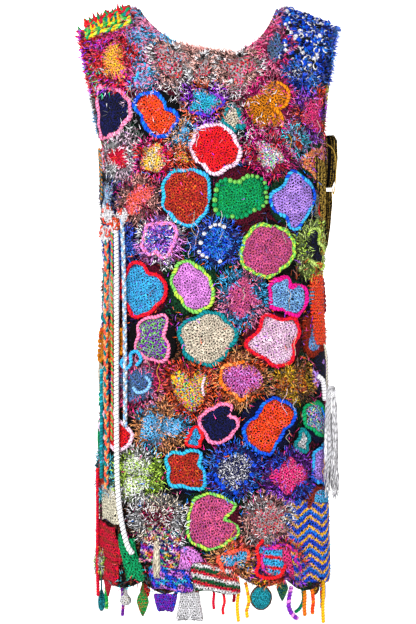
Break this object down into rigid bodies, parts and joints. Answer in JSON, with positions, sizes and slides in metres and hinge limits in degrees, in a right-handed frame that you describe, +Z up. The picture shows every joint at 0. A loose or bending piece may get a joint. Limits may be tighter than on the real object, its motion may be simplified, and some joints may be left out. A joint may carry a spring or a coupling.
{
  "type": "sleeveless crochet dress",
  "caption": "Sleeveless straight shift dress in freeform crochet patchwork, worn hollow, with ragged corded hem, side flaps, tassels and long hanging cords",
  "frame": {"origin": "midway between the shoulders, level with the top of the neck points, where a wearer carries the dress", "axes": "+Z up, -Y the front of the dress, +X to the viewer's right as the front is seen"},
  "size_m": [0.4319, 0.2814, 1.0239],
  "materials": {
    "crochet_patchwork": "matt wool and acrylic yarn in crochet stitches, many colours on a dark ground, with hairy edgings",
    "applied_crochet": "matt yarn, small crochet pieces sewn on",
    "cord_yarn": "matt yarn, twisted, braided or chained into cords",
    "tassel_yarn": "soft white yarn in loose strands",
    "ribbed_knit": "matt knitted rib in dark blue and ochre",
    "edging_yarn": "matt yarn in thick twisted edging"
  },
  "bodies": {
    "root": {"armhole_cord_right": "edging_yarn", "armhole_rope_left": "edging_yarn", "back_panel": "crochet_patchwork", "cord_braid": "cord_yarn", "cord_coral": "cord_yarn", "cord_crimson": "cord_yarn", "cord_grey": "cord_yarn", "cord_teal": "cord_yarn", "cord_white": "cord_yarn", "front_panel": "crochet_patchwork", "hem_back_disc": "applied_crochet", "hem_back_drop": "applied_crochet", "hem_back_flap": "applied_crochet", "hem_back_leaf": "applied_crochet", "hem_bud": "applied_crochet", "hem_cord_back_a": "cord_yarn", "hem_cord_back_b": "cord_yarn", "hem_cord_back_c": "cord_yarn", "hem_cord_back_d": "cord_yarn", "hem_cord_back_e": "cord_yarn", "hem_cord_back_f": "cord_yarn", "hem_cord_crimson_a": "cord_yarn", "hem_cord_crimson_b": "cord_yarn", "hem_cord_mixed": "cord_yarn", "hem_cord_orange_a": "cord_yarn", "hem_cord_orange_b": "cord_yarn", "hem_cord_purple": "cord_yarn", "hem_cord_yellow_a": "cord_yarn", "hem_cord_yellow_b": "cord_yarn", "hem_cord_yellow_c": "cord_yarn", "hem_disc": "applied_crochet", "hem_drop": "applied_crochet", "hem_flap_left": "applied_crochet", "hem_fold": "applied_crochet", "hem_leaf": "applied_crochet", "hem_scrap": "applied_crochet", "hem_tassel": "tassel_yarn", "hem_triangle": "applied_crochet", "neck_edging": "edging_yarn", "rosette_far": "applied_crochet", "rosette_low": "applied_crochet", "rosette_right": "applied_crochet", "rosette_top": "applied_crochet", "side_flap_lower": "ribbed_knit", "side_flap_upper": "ribbed_knit", "side_loop": "applied_crochet", "side_patch": "applied_crochet", "side_strip": "applied_crochet", "side_tassel": "tassel_yarn"}
  },
  "joints": []
}
